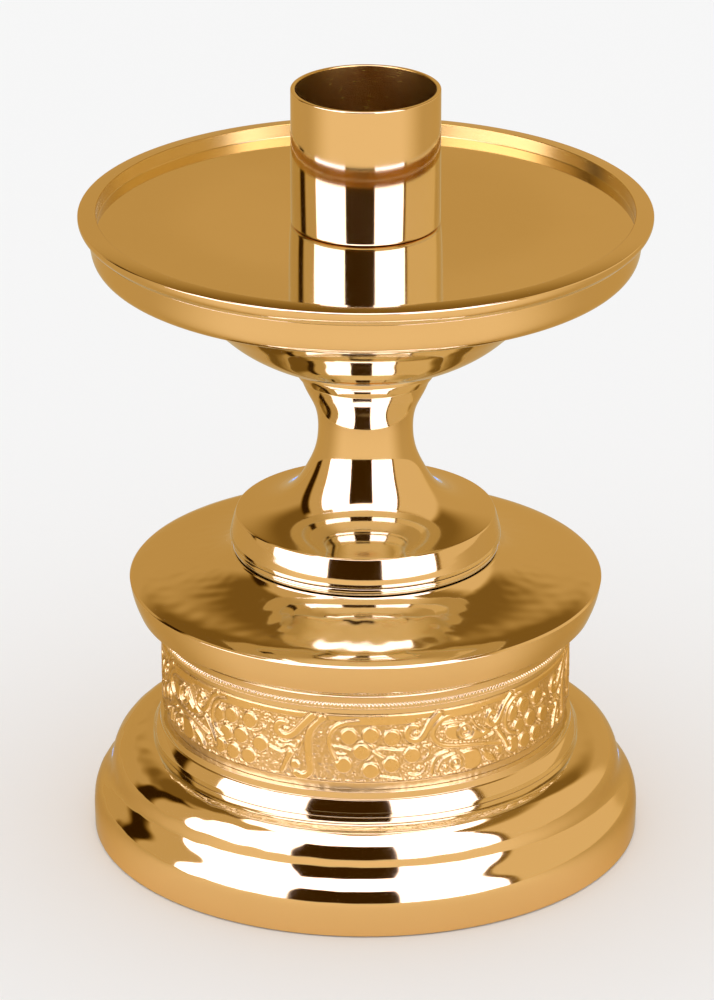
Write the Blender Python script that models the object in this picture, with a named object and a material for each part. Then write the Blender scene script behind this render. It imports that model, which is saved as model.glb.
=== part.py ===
"""Altar candlestick: spun, turned and cast brass pieces stacked on one central threaded rod.

Outlines are half sections in millimetres, (radius, height), turned about the Z axis. Height 0 is the
surface that the candlestick stands on. Each outline runs down the piece's outer side, from its top.
"""
import math

import bmesh
import bpy

MM = 0.001            # metres in a millimetre
GAP = 0.3             # clearance between pieces that bear on each other
ROUND_STEPS = 40      # facets around the pieces that are seen
SMALL_STEPS = 24      # facets around washers, spacers and the rod
SHARP_ANGLE = math.radians(28.0)

# Driving dimensions
BASE_RADIUS = 76.2    # 6 inch base
BASE_TOP = 27.8       # flat top of the base shell
HEIGHT = 216.4        # rim of the candle socket, 8 1/2 inches up
SHEET = 1.4           # thickness of the spun sheet brass
ROD_RADIUS = 4.0      # M8 tie rod
HOLE_RADIUS = ROD_RADIUS + GAP
DRUM_INNER = 54.0     # inside of the rings that make up the drum
FELT_RADIUS = 73.8
FELT_THICKNESS = 1.6
FLOOR_DISC_RADIUS = 74.4
FLOOR_DISC_THICKNESS = 1.0
WEIGHT_RADIUS = 62.0
WEIGHT_THICKNESS = 10.0
SKIRT_BOTTOM = 0.3

FOOT_RING_BOTTOM = BASE_TOP + GAP   # lowest of the drum's rings
FRIEZE_BOTTOM = 34.6
FRIEZE_TOP = 57.4
FRIEZE_FIELD_BOTTOM = 37.1
FRIEZE_FIELD_TOP = 55.3
FRIEZE_FILLET_RADIUS = 56.9
FRIEZE_FIELD_RADIUS = 56.2
BEAD_HEIGHT = 59.9    # middle of the fine beading under the cover
BEAD_RADIUS = 1.1
COLLAR_TOP = 66.2
COVER_RIM_BOTTOM = 66.5
COVER_RIM_RADIUS = 65.4
COVER_RIM_TOP = 74.8
COVER_SEAT = 83.3     # flat that the stem's foot ring stands on
COVER_SEAT_RADIUS = 36.8
FOOT_RING_TOP = 85.5
FOOT_RING_RADIUS = 36.9
FOOT_RING_INNER = 20.0
STEM_BOTTOM = FOOT_RING_TOP + GAP
DISC_RADIUS = 37.4    # widest point of the disc at the bottom of the stem
DISC_TOP = 94.0
NECK_RADIUS = 13.05
NECK_HEIGHT = 118.5
STEM_TOP = 134.1
COLLAR_RING_TOP = 138.9
CUP_FLOOR = COLLAR_RING_TOP + GAP
CUP_TOP = 160.2
CUP_TOP_RADIUS = 51.0
SHELL_FLOOR = 160.5
SHELL_TOP = 176.8
SHELL_TOP_RADIUS = 75.4
TRAY_BOTTOM = 177.1
TRAY_FLOOR = 178.3
TRAY_RADIUS = 78.15   # outermost edge of the drip pan
TRAY_INNER = 73.0     # vertical inner wall of the drip pan
TRAY_RIM_TOP = 182.0
SOCKET_BOTTOM = 178.6
SOCKET_RADIUS = 20.3
SOCKET_BORE = 19.05   # takes a 1 1/2 inch candle
SOCKET_SEAT = 180.1   # inside floor of the socket, where the candle stands
SEAT_BOSS_RADIUS = 10.0
SEAT_BOSS_TOP = 180.5 # pressed boss under the washer
SPACER_RADIUS = 8.0
DRUM_SPACER_RADIUS = 9.0

WASHER_THICKNESS = 1.6
SOCKET_WASHER_RADIUS = 9.5
BOTTOM_WASHER_RADIUS = 12.0
LOCK_WASHER_RADIUS = 7.2
LOCK_WASHER_THICKNESS = 2.0
LOCK_WASHER_SPLIT = math.radians(14.0)
NUT_ACROSS_FLATS = 13.0
NUT_HEIGHT = 6.5
NUT_CHAMFER = 0.7
ROD_PROUD = 2.2       # length of rod that stands past each nut
ROD_CHAMFER = 0.6

# Finish name: (base colour, roughness, metallic)
FINISHES = {
    "polished_brass": ((0.80, 0.53, 0.22), 0.10, 1.0),
    "cast_brass": ((0.78, 0.52, 0.22), 0.28, 1.0),
    "zinc_steel": ((0.62, 0.62, 0.60), 0.32, 1.0),
    "cast_iron": ((0.10, 0.10, 0.10), 0.70, 0.6),
    "felt": ((0.05, 0.13, 0.08), 0.95, 0.0),
}


def arc(centre, radius, start, end, count):
    """Points on a circle about centre, from start to end in degrees."""
    angles = [math.radians(start + (end - start) * i / (count - 1)) for i in range(count)]
    return [(centre[0] + radius * math.cos(a), centre[1] + radius * math.sin(a)) for a in angles]


def curve(points, between):
    """A smooth curve through the points, with so many samples between each pair."""
    ends = [tuple(2 * a - b for a, b in zip(points[0], points[1]))]
    ends.append(tuple(2 * a - b for a, b in zip(points[-1], points[-2])))
    knots = [ends[0], *points, ends[1]]
    samples = []
    for p0, p1, p2, p3 in zip(knots, knots[1:], knots[2:], knots[3:]):
        for i in range(between + 1):
            t = i / (between + 1)
            samples.append(tuple(
                0.5 * (2 * b + (c - a) * t + (2 * a - 5 * b + 4 * c - d) * t * t
                       + (3 * b - a - 3 * c + d) * t ** 3)
                for a, b, c, d in zip(p0, p1, p2, p3)))
    samples.append(points[-1])
    return samples


def band(inner, outer, bottom, top):
    """Outline of a plain washer or tube."""
    return [(outer, top), (outer, bottom), (inner, bottom), (inner, top)]


def material(name):
    """A new Principled material with the named finish."""
    colour, roughness, metallic = FINISHES[name]
    result = bpy.data.materials.new(name)
    result.use_nodes = True
    shader = result.node_tree.nodes["Principled BSDF"]
    shader.inputs["Base Color"].default_value = (*colour, 1.0)
    shader.inputs["Roughness"].default_value = roughness
    shader.inputs["Metallic"].default_value = metallic
    result.diffuse_color = (*colour, 1.0)
    return result


def add_object(name, mesh_data, finish):
    """Turn a bmesh into a shaded object that hangs on the candlestick's empty."""
    bmesh.ops.recalc_face_normals(mesh_data, faces=mesh_data.faces)
    mesh = bpy.data.meshes.new(name)
    mesh_data.to_mesh(mesh)
    mesh_data.free()
    mesh.shade_smooth()
    mesh.set_sharp_from_angle(angle=SHARP_ANGLE)
    mesh.materials.append(material(finish))
    obj = bpy.data.objects.new(name, mesh)
    obj.parent = candlestick
    bpy.context.scene.collection.objects.link(obj)
    return obj


def turned(name, outline, finish, steps=ROUND_STEPS, angle=math.tau):
    """Turn an outline about the Z axis. One that starts on the axis is left open there."""
    mesh_data = bmesh.new()
    verts = [mesh_data.verts.new((r * MM, 0.0, z * MM)) for r, z in outline]
    edges = [mesh_data.edges.new(pair) for pair in zip(verts, verts[1:])]
    if outline[0][0] > 0:
        edges.append(mesh_data.edges.new((verts[-1], verts[0])))
    full_turn = angle == math.tau
    if not full_turn:
        mesh_data.faces.new(verts)
    end = bmesh.ops.spin(mesh_data, geom=verts + edges, cent=(0, 0, 0), axis=(0, 0, 1),
                         angle=angle, steps=steps, use_merge=full_turn)["geom_last"]
    if not full_turn:
        mesh_data.faces.new([v for v in end if isinstance(v, bmesh.types.BMVert)])
    bmesh.ops.remove_doubles(mesh_data, verts=mesh_data.verts, dist=1e-7)
    return add_object(name, mesh_data, finish)


def hex_nut(name, bottom, finish):
    """Hexagon nut: a hexagon with turned chamfers at both ends and a round hole."""
    sides = 6
    flat = NUT_ACROSS_FLATS / 2
    corner = flat / math.cos(math.pi / sides)
    top = bottom + NUT_HEIGHT
    mesh_data = bmesh.new()
    rings = []
    for radius, z in ((HOLE_RADIUS, top), (flat, top), (corner, top - NUT_CHAMFER),
                      (corner, bottom + NUT_CHAMFER), (flat, bottom), (HOLE_RADIUS, bottom)):
        ring = []
        for i in range(SMALL_STEPS):
            a = math.tau * i / SMALL_STEPS
            from_flat = (a % (math.tau / sides)) - math.pi / sides
            reach = min(radius, flat / math.cos(from_flat)) if radius > HOLE_RADIUS else radius
            ring.append(mesh_data.verts.new((reach * math.cos(a) * MM, reach * math.sin(a) * MM, z * MM)))
        rings.append(ring)
    for upper, lower in zip(rings, rings[1:] + rings[:1]):
        for i in range(SMALL_STEPS):
            j = (i + 1) % SMALL_STEPS
            mesh_data.faces.new((upper[i], lower[i], lower[j], upper[j]))
    return add_object(name, mesh_data, finish)


def base_parts():
    """Spun base shell, its iron weight, the disc that closes it and the felt under that."""
    side = curve([(60.0, BASE_TOP), (63.6, 27.7), (66.2, 26.9), (68.7, 24.9), (70.2, 22.5), (70.9, 20.0),
                  (71.4, 17.8), (72.5, 15.7), (73.55, 14.4), (74.7, 12.95), (75.6, 11.0), (76.1, 8.6),
                  (BASE_RADIUS, 5.0)], 1)
    wall = BASE_RADIUS - SHEET
    inside = [(wall, SKIRT_BOTTOM), (wall, 9.5), (72.6, 13.2), (70.2, 16.6), (69.5, 20.0), (68.4, 23.0),
              (66.0, 25.4), (62.5, BASE_TOP - SHEET), (HOLE_RADIUS, BASE_TOP - SHEET)]
    outline = [(HOLE_RADIUS, BASE_TOP), *side, (BASE_RADIUS, SKIRT_BOTTOM), *inside]
    turned("base_shell", outline, "polished_brass")
    weight_top = BASE_TOP - SHEET - GAP
    weight_bottom = weight_top - WEIGHT_THICKNESS
    edge = 1.5
    weight = [(WEIGHT_RADIUS - edge, weight_top), (WEIGHT_RADIUS, weight_top - edge),
              (WEIGHT_RADIUS, weight_bottom), (HOLE_RADIUS, weight_bottom), (HOLE_RADIUS, weight_top)]
    turned("base_weight", weight, "cast_iron")
    disc_bottom = FELT_THICKNESS + GAP
    disc_top = disc_bottom + FLOOR_DISC_THICKNESS
    disc = [(0.0, disc_top), (FLOOR_DISC_RADIUS, disc_top), (FLOOR_DISC_RADIUS, disc_bottom),
            (0.0, disc_bottom)]
    turned("bottom_disc", disc, "zinc_steel")
    felt = [(0.0, FELT_THICKNESS), (FELT_RADIUS, FELT_THICKNESS), (FELT_RADIUS, 0.0), (0.0, 0.0)]
    turned("felt_pad", felt, "felt")
    return weight_bottom


def drum_parts():
    """The rings between the base and the cover: moulded foot, cast frieze and beaded collar."""
    top = FRIEZE_BOTTOM - GAP
    foot = [(56.7, top), (57.35, top - 0.3), (57.45, 32.55), (57.85, 32.3), (58.2, 31.7), (59.1, 29.8),
            (59.3, 29.3), (59.35, FOOT_RING_BOTTOM), (DRUM_INNER, FOOT_RING_BOTTOM), (DRUM_INNER, top)]
    turned("frieze_foot_ring", foot, "polished_brass")
    frieze = [(FRIEZE_FILLET_RADIUS - 0.5, FRIEZE_TOP), (FRIEZE_FILLET_RADIUS, FRIEZE_TOP - 0.5),
              (FRIEZE_FILLET_RADIUS, FRIEZE_FIELD_TOP), (FRIEZE_FIELD_RADIUS, FRIEZE_FIELD_TOP - 0.3),
              (FRIEZE_FIELD_RADIUS, FRIEZE_FIELD_BOTTOM + 0.3),
              (FRIEZE_FILLET_RADIUS, FRIEZE_FIELD_BOTTOM), (FRIEZE_FILLET_RADIUS, FRIEZE_BOTTOM),
              (DRUM_INNER, FRIEZE_BOTTOM), (DRUM_INNER, FRIEZE_TOP)]
    turned("frieze_band", frieze, "cast_brass")
    collar_bottom = FRIEZE_TOP + GAP
    cove = curve([(62.0, COLLAR_TOP), (59.3, 64.9), (57.3, 61.6)], 1)
    bead = arc((56.4, BEAD_HEIGHT), BEAD_RADIUS, 50, -70, 4)
    collar = [*cove, *bead, (56.4, 58.6), (56.4, collar_bottom), (DRUM_INNER, collar_bottom),
              (DRUM_INNER, COLLAR_TOP)]
    turned("beaded_collar", collar, "polished_brass")


def cover_parts():
    """Spun cover over the drum, and the tube inside the drum that takes the clamping load."""
    flare = curve([(37.25, 82.9), (39.3, 81.25), (43.0, 79.5), (46.0, 78.7), (53.0, 77.45), (57.0, 77.05),
                   (60.8, 76.65), (63.2, 76.1), (64.9, 75.4)], 1)
    rim = curve([(COVER_RIM_RADIUS, COVER_RIM_TOP), (64.75, 71.5), (62.9, COVER_RIM_BOTTOM)], 1)
    under = COVER_SEAT - SHEET
    inside = [(61.2, COVER_RIM_BOTTOM), (62.6, 70.5), (63.2, 73.4), (61.5, 74.7), (57.0, 75.5), (46.0, 77.2),
              (43.0, 78.1), (40.0, 79.2), (37.4, 80.8), (36.0, under), (HOLE_RADIUS, under)]
    outline = [(HOLE_RADIUS, COVER_SEAT), (COVER_SEAT_RADIUS, COVER_SEAT), *flare, *rim, *inside]
    turned("cover_plate", outline, "polished_brass")
    spacer = band(HOLE_RADIUS, DRUM_SPACER_RADIUS, BASE_TOP + GAP, under - GAP)
    turned("drum_spacer", spacer, "zinc_steel", SMALL_STEPS)


def stem_parts():
    """Beaded foot ring, hollow cast stem with its disc, and the ring on top of the neck."""
    foot_bottom = COVER_SEAT + GAP
    bead = arc((FOOT_RING_RADIUS - 0.95, (FOOT_RING_TOP + foot_bottom) / 2), 0.95, 70, -70, 5)
    foot = [*bead, (FOOT_RING_INNER, foot_bottom), (FOOT_RING_INNER, FOOT_RING_TOP)]
    turned("stem_foot_ring", foot, "polished_brass")
    neck = curve([(18.0, STEM_TOP), (15.3, 128.2), (NECK_RADIUS, NECK_HEIGHT), (14.4, 110.5),
                  (18.4, 103.0), (25.0, 96.7), (35.5, DISC_TOP)], 1)
    disc = curve([(35.8, DISC_TOP - 0.3), (36.3, 92.2), (36.8, 90.3), (37.3, 88.2), (DISC_RADIUS, 87.2),
                  (36.8, STEM_BOTTOM)], 1)
    hollow = [(30.0, STEM_BOTTOM), (28.0, 91.0), (18.0, 94.6), (12.0, 101.0), (8.5, 110.0),
              (8.5, 127.0), (12.0, STEM_TOP)]
    turned("stem", [*neck, *disc, *hollow], "polished_brass")
    ring_bottom = STEM_TOP + GAP
    ovolo = curve([(20.2, COLLAR_RING_TOP), (20.5, 137.4), (18.3, ring_bottom)], 1)
    ring = [*ovolo, (HOLE_RADIUS, ring_bottom), (HOLE_RADIUS, COLLAR_RING_TOP)]
    turned("stem_collar", ring, "polished_brass")


def pan_parts():
    """Cup under the pan, the pan's spun shell, its tray, and the spacers inside them."""
    bowl = curve([(CUP_TOP_RADIUS, CUP_TOP), (43.2, 152.2), (33.0, 144.0), (20.6, CUP_FLOOR)], 1)
    floor = CUP_FLOOR + SHEET + 0.1
    inside = [(HOLE_RADIUS, floor), (20.4, floor), (32.0, 145.4), (42.0, 153.6), (48.8, CUP_TOP)]
    turned("pan_cup", [*bowl, (HOLE_RADIUS, CUP_FLOOR), *inside], "polished_brass")
    side = [(SHELL_TOP_RADIUS, SHELL_TOP), (74.7, 172.6)]
    corner = curve([(74.3, 170.6), (72.6, 168.2), (69.4, 166.9)], 1)
    under = [(51.5, SHELL_FLOOR), (HOLE_RADIUS, SHELL_FLOOR)]
    shell_seat = SHELL_FLOOR + SHEET
    lining = [(HOLE_RADIUS, shell_seat), (51.2, shell_seat), (69.0, 168.3), (71.8, 169.4),
              (73.0, 171.4), (SHELL_TOP_RADIUS - SHEET, SHELL_TOP)]
    turned("pan_shell", [*side, *corner, *under, *lining], "polished_brass")
    flare = curve([(TRAY_RADIUS, 181.0), (77.3, 178.9), (75.0, TRAY_BOTTOM)], 1)
    tray = [(TRAY_INNER, TRAY_RIM_TOP), (77.6, 181.5), *flare, (HOLE_RADIUS, TRAY_BOTTOM),
            (HOLE_RADIUS, TRAY_FLOOR), (TRAY_INNER, TRAY_FLOOR)]
    turned("drip_pan", tray, "polished_brass")
    for name, bottom, top in (("cup_spacer", floor, SHELL_FLOOR), ("pan_spacer", shell_seat, TRAY_BOTTOM)):
        tube = band(HOLE_RADIUS, SPACER_RADIUS, bottom + GAP, top - GAP)
        turned(name, tube, "zinc_steel", SMALL_STEPS)


def socket_part():
    """Drawn brass cup that holds the candle."""
    rim_edge = 0.3
    corner = arc((SOCKET_RADIUS - 1.3, SOCKET_BOTTOM + 1.3), 1.3, 0, -90, 4)
    outline = [(SOCKET_RADIUS - rim_edge, HEIGHT), (SOCKET_RADIUS, HEIGHT - rim_edge), *corner,
               (HOLE_RADIUS, SOCKET_BOTTOM), (HOLE_RADIUS, SEAT_BOSS_TOP), (SEAT_BOSS_RADIUS, SEAT_BOSS_TOP),
               (SEAT_BOSS_RADIUS, SOCKET_SEAT), (SOCKET_BORE, SOCKET_SEAT),
               (SOCKET_BORE, HEIGHT - rim_edge), (SOCKET_BORE + rim_edge, HEIGHT)]
    turned("candle_socket", outline, "polished_brass")


def fasteners(weight_bottom):
    """The tie rod, and the washers and nuts that clamp the stack at its two ends."""
    washer_bottom = SEAT_BOSS_TOP + GAP
    washer_top = washer_bottom + WASHER_THICKNESS
    washer = band(HOLE_RADIUS, SOCKET_WASHER_RADIUS, washer_bottom, washer_top)
    turned("socket_washer", washer, "zinc_steel", SMALL_STEPS)
    hex_nut("socket_nut", washer_top + GAP, "zinc_steel")
    rod_top = washer_top + GAP + NUT_HEIGHT + ROD_PROUD

    washer_top = weight_bottom - GAP
    washer_bottom = washer_top - WASHER_THICKNESS
    washer = band(HOLE_RADIUS, BOTTOM_WASHER_RADIUS, washer_bottom, washer_top)
    turned("bottom_washer", washer, "zinc_steel", SMALL_STEPS)
    lock_top = washer_bottom - GAP
    lock_bottom = lock_top - LOCK_WASHER_THICKNESS
    lock = band(HOLE_RADIUS, LOCK_WASHER_RADIUS, lock_bottom, lock_top)
    turned("lock_washer", lock, "zinc_steel", SMALL_STEPS, math.tau - LOCK_WASHER_SPLIT)
    nut_bottom = lock_bottom - GAP - NUT_HEIGHT
    hex_nut("bottom_nut", nut_bottom, "zinc_steel")
    rod_bottom = nut_bottom - ROD_PROUD

    thread_end = ROD_RADIUS - ROD_CHAMFER
    rod = [(0.0, rod_top), (thread_end, rod_top), (ROD_RADIUS, rod_top - ROD_CHAMFER),
           (ROD_RADIUS, rod_bottom + ROD_CHAMFER), (thread_end, rod_bottom), (0.0, rod_bottom)]
    turned("tie_rod", rod, "zinc_steel", SMALL_STEPS)


for old in list(bpy.data.objects):
    bpy.data.objects.remove(old, do_unlink=True)
candlestick = bpy.data.objects.new("candlestick", None)
bpy.context.scene.collection.objects.link(candlestick)

underside = base_parts()
drum_parts()
cover_parts()
stem_parts()
pan_parts()
socket_part()
fasteners(underside)
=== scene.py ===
"""Looks of the altar candlestick: polished lathe-turned brass, a cast vine frieze, and a plain pale studio.

Outlines are half sections in millimetres, (radius, height), as in the CAD model, but with every edge
eased and every flowing stretch a smooth spline, because the brass is a mirror.
"""
import math

import bpy
import numpy as np
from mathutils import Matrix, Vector


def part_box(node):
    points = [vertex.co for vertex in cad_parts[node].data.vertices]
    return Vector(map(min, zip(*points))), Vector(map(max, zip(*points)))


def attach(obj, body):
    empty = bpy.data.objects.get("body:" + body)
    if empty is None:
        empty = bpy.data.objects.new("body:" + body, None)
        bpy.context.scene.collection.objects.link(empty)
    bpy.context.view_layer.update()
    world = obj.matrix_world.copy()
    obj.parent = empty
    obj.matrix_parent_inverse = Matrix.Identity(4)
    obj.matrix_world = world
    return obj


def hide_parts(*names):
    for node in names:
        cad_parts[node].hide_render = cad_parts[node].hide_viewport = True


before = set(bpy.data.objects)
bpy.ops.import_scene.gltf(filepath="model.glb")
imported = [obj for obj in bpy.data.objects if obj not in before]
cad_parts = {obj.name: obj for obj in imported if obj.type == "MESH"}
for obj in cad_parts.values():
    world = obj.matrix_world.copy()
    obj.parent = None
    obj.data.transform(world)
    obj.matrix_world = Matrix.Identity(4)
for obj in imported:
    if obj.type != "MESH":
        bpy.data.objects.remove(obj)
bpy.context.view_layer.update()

MM = 0.001             # metres in a millimetre
BODY = "root"
COLUMNS, FINE_COLUMNS = 192, 480   # facets around a turned piece
CURVE_STEP = 0.6       # spacing of points along a spline
FINE_STEP = 0.15       # the same on small beads and edges
CORNER_TURN = math.radians(14.0)   # an outline that turns more than this has a corner there
CORNER_STEPS = 6       # straight stretches that round one corner

# ---------------------------------------------------------------- sizes, as in the CAD model
BASE_RADIUS, BASE_TOP, SKIRT_BOTTOM = 76.2, 27.8, 0.3
SHEET = 1.4
HOLE = 4.3
DRUM_INNER = 54.0
FRIEZE_BOTTOM, FRIEZE_TOP = 34.6, 57.4
FIELD_BOTTOM, FIELD_TOP = 37.1, 55.3
FRIEZE_RADIUS = 56.9
FELT_RADIUS, FELT_TOP, FELT_NAP = 73.8, 1.6, 0.12
SEAM = 0.02            # gap that shows between two stacked pieces
COLLAR_BOTTOM, COLLAR_TOP = 57.45, 66.2
BEAD_HEIGHT, BEAD_RADIUS = 59.9, 0.95
COVER_RIM_BOTTOM, COVER_SEAT = 66.5, 83.3
STEM_BOTTOM, STEM_TOP = 85.8, 134.1
CUP_FLOOR, CUP_TOP = 139.2, 160.2
SHELL_FLOOR = 160.5
TRAY_BOTTOM, TRAY_FLOOR, TRAY_TOP = 177.1, 178.3, 182.0
TRAY_INNER = 73.0
SOCKET_SEAT, HEIGHT = 180.1, 216.4
SOCKET_RADIUS, SOCKET_BORE = 20.3, 19.05
BOSS_RADIUS, BOSS_TOP = 10.0, 180.5
ROD_RADIUS, THREAD_DEPTH, THREAD_PITCH = 4.0, 0.65, 1.25
THREADED = 26.0        # length of the thread at each end of the rod
ROD_CHAMFER = 0.8
NUT_FLATS = 13.0       # across the flats
NUT_FACE = NUT_FLATS / 2 - 0.35    # radius of the flat circle on a nut's end
NUT_BORE_CHAMFER = 0.35


# ---------------------------------------------------------------- outlines
def spline(points, step=CURVE_STEP):
    """Natural cubic spline through the points, sampled about every step."""
    p = np.array(points, float)
    gaps = np.hypot(*np.diff(p, axis=0).T)
    t = np.concatenate([[0.0], np.cumsum(gaps)])
    count = len(p)
    lhs, rhs = np.eye(count), np.zeros((count, 2))
    for i in range(1, count - 1):
        lhs[i, i - 1:i + 2] = gaps[i - 1], 2 * (gaps[i - 1] + gaps[i]), gaps[i]
        rhs[i] = 6 * ((p[i + 1] - p[i]) / gaps[i] - (p[i] - p[i - 1]) / gaps[i - 1])
    bend = np.linalg.solve(lhs, rhs)
    u = np.linspace(0.0, t[-1], max(4, int(t[-1] / step)) + 1)
    i = np.clip(np.searchsorted(t, u, side="right") - 1, 0, count - 2)
    a, b, h = (t[i + 1] - u)[:, None], (u - t[i])[:, None], gaps[i][:, None]
    curve = (bend[i] * a ** 3 + bend[i + 1] * b ** 3) / (6 * h)
    curve += (p[i] / h - bend[i] * h / 6) * a + (p[i + 1] / h - bend[i + 1] * h / 6) * b
    return [tuple(q) for q in curve]


def arc(centre, radius, start, end, step=CURVE_STEP):
    """Points on a circle about centre, from start to end in degrees."""
    count = max(6, int(abs(math.radians(end - start)) * radius / step)) + 1
    angles = np.radians(np.linspace(start, end, count))
    return [(centre[0] + radius * math.cos(a), centre[1] + radius * math.sin(a)) for a in angles]


def eased(outline, radius, closed=True):
    """The outline with each of its corners rounded to about radius."""
    p = np.array(outline, float)
    loop = np.vstack([p, p[:1]]) if closed else p
    gaps = np.hypot(*np.diff(loop, axis=0).T)
    at = np.concatenate([[0.0], np.cumsum(gaps)])
    total = at[-1]
    count = len(p)
    inner = range(count) if closed else range(1, count - 1)
    corners = []
    for i in inner:
        before, after = p[i] - p[i - 1], p[(i + 1) % count] - p[i]
        turn = abs(math.atan2(before[0] * after[1] - before[1] * after[0], before @ after))
        if turn > CORNER_TURN:
            corners.append((at[i], turn))
    result = [(s, q) for s, q in zip(at, map(tuple, p))]
    for k, (s, turn) in enumerate(corners):
        gap_before = s - corners[k - 1][0] if k else (s - corners[-1][0] + total if closed else s)
        last = k == len(corners) - 1
        gap_after = (corners[0][0] + total - s if closed else total - s) if last else corners[k + 1][0] - s
        reach = min(radius * math.tan(turn / 2), 0.48 * min(gap_before, gap_after))

        def point(q):
            q = q % total if closed else q
            return np.array([np.interp(q, at, loop[:, axis]) for axis in (0, 1)])

        start, middle, end = point(s - reach), point(s), point(s + reach)
        result = [(q, v) for q, v in result
                  if min(abs(q - s), total - abs(q - s) if closed else total) > reach * 0.999]
        for j in range(CORNER_STEPS + 1):
            f = j / CORNER_STEPS
            v = start * (1 - f) ** 2 + 2 * middle * f * (1 - f) + end * f * f
            result.append((s - reach + 2 * reach * f, tuple(v)))
    result.sort(key=lambda item: item[0])
    return [v for _, v in result]


# ---------------------------------------------------------------- meshes
def grid_object(name, verts, close_rows, material, caps=()):
    """An object from rows of points that run round the axis. verts has shape (rows, columns, 3), in mm."""
    rows, columns = verts.shape[:2]
    index = np.arange(rows * columns).reshape(rows, columns)
    upper = index if close_rows else index[:-1]
    lower = np.roll(index, -1, axis=0) if close_rows else index[1:]
    quads = np.stack([upper, lower, np.roll(lower, -1, axis=1), np.roll(upper, -1, axis=1)], -1)
    points = verts.reshape(-1, 3) * MM
    faces = quads.reshape(-1, 4).tolist()
    for row, height in caps:
        tip = len(points)
        points = np.vstack([points, [[0.0, 0.0, height * MM]]])
        ring = index[row]
        pairs = zip(ring, np.roll(ring, -1)) if row == 0 else zip(np.roll(ring, -1), ring)
        faces += [(tip, int(a), int(b)) for a, b in pairs]
    mesh = bpy.data.meshes.new(name)
    mesh.from_pydata(points.tolist(), [], faces)
    mesh.shade_smooth()
    mesh.materials.append(material)
    obj = bpy.data.objects.new(name, mesh)
    bpy.context.scene.collection.objects.link(obj)
    return obj


def lathe(name, outline, material, columns=COLUMNS):
    """Turn an outline about the axis. One that begins and ends on the axis is capped there."""
    angles = np.arange(columns) * math.tau / columns
    solid = outline[0][0] < 1e-6
    section = np.array(outline[1:-1] if solid else outline)
    verts = np.empty((len(section), columns, 3))
    verts[..., 0] = section[:, :1] * np.cos(angles)
    verts[..., 1] = section[:, :1] * np.sin(angles)
    verts[..., 2] = section[:, 1:]
    caps = ((0, outline[0][1]), (-1, outline[-1][1])) if solid else ()
    return grid_object(name, verts, not solid, material, caps)


WAVES = 60                 # sine waves that add up to the unevenness of a buffed surface
WAVES_ROUND = (8, 64)      # how many times one goes round the piece
WAVES_ACROSS = (-1.0, 1.0)   # how fast one turns across it, in radians per mm
WAVE_EDGE = 2.0            # mm over which they fade in and out


def buffed(piece, low, high, depth, left, seed):
    """Soft waves left by hand buffing, on the upper and outer side of a piece between two radii.

    depth is their height in mm, and on the left side they are left times as high.
    """
    mesh = piece.data
    co, normals = np.empty((2, len(mesh.vertices) * 3))
    mesh.vertices.foreach_get("co", co)
    mesh.vertices.foreach_get("normal", normals)
    v, normals = co.reshape(-1, 3) / MM, normals.reshape(-1, 3)
    radius, angle = np.hypot(v[:, 0], v[:, 1]), np.arctan2(v[:, 1], v[:, 0])
    outward = (normals[:, 0] * v[:, 0] + normals[:, 1] * v[:, 1]) / radius
    rng = np.random.default_rng(seed)
    wave = np.zeros(len(v))
    for _ in range(WAVES):
        around, across = rng.integers(*WAVES_ROUND), rng.uniform(*WAVES_ACROSS)
        wave += np.sin(around * angle + across * (radius - v[:, 2]) + rng.uniform(0.0, math.tau))
    inside = np.clip((radius - low) / WAVE_EDGE, 0.0, 1.0) * np.clip((high - radius) / WAVE_EDGE, 0.0, 1.0)
    inside *= (normals[:, 2] + outward) > 0.3
    lean = 1.0 + (left - 1.0) * np.clip(-v[:, 0] / radius, 0.0, 1.0)
    v += normals * (wave / math.sqrt(WAVES / 2) * depth * inside * lean)[:, None]
    mesh.vertices.foreach_set("co", (v * MM).ravel())
    return piece


def place(piece, slot, *nodes):
    """The piece rides on the only body and stands for the CAD nodes, which are hidden. slot is not used."""
    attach(piece, BODY)
    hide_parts(*nodes)
    return piece


# ---------------------------------------------------------------- materials
def node_tools(tree):
    """Short makers for the nodes of one tree: node(kind, inputs, **settings) and calc(operation, a, b)."""
    def node(kind, inputs=(), **settings):
        made = tree.nodes.new(kind)
        for key, value in settings.items():
            setattr(made, key, value)
        for key, value in dict(inputs).items():
            if isinstance(value, bpy.types.NodeSocket):
                tree.links.new(value, made.inputs[key])
            else:
                made.inputs[key].default_value = value
        return made

    def calc(operation, a, b=0.0, c=0.0):
        return node("ShaderNodeMath", {0: a, 1: b, 2: c}, operation=operation).outputs[0]

    return node, calc


def new_material(name):
    """A node material and its Principled shader."""
    result = bpy.data.materials.new(name)
    result.use_nodes = True
    return result, result.node_tree, result.node_tree.nodes["Principled BSDF"]


def ranged(node, value, low, high):
    """The value, from 0 to 1, mapped to low to high."""
    return node("ShaderNodeMapRange", {"Value": value, "To Min": low, "To Max": high}).outputs[0]


def blend_colour(node, factor, first, second):
    """A mix of two colours, each either a triple or the output of another node."""
    first, second = [(*c, 1.0) if isinstance(c, tuple) else c for c in (first, second)]
    return node("ShaderNodeMix", {"Factor": factor, 6: first, 7: second}, data_type="RGBA").outputs[2]


def noise(node, place_at, scale, detail, **more):
    """Value of a noise texture at a place."""
    inputs = {"Vector": place_at, "Scale": scale, "Detail": detail}
    inputs.update({key.capitalize(): value for key, value in more.items()})
    return node("ShaderNodeTexNoise", inputs).outputs[0]


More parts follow.
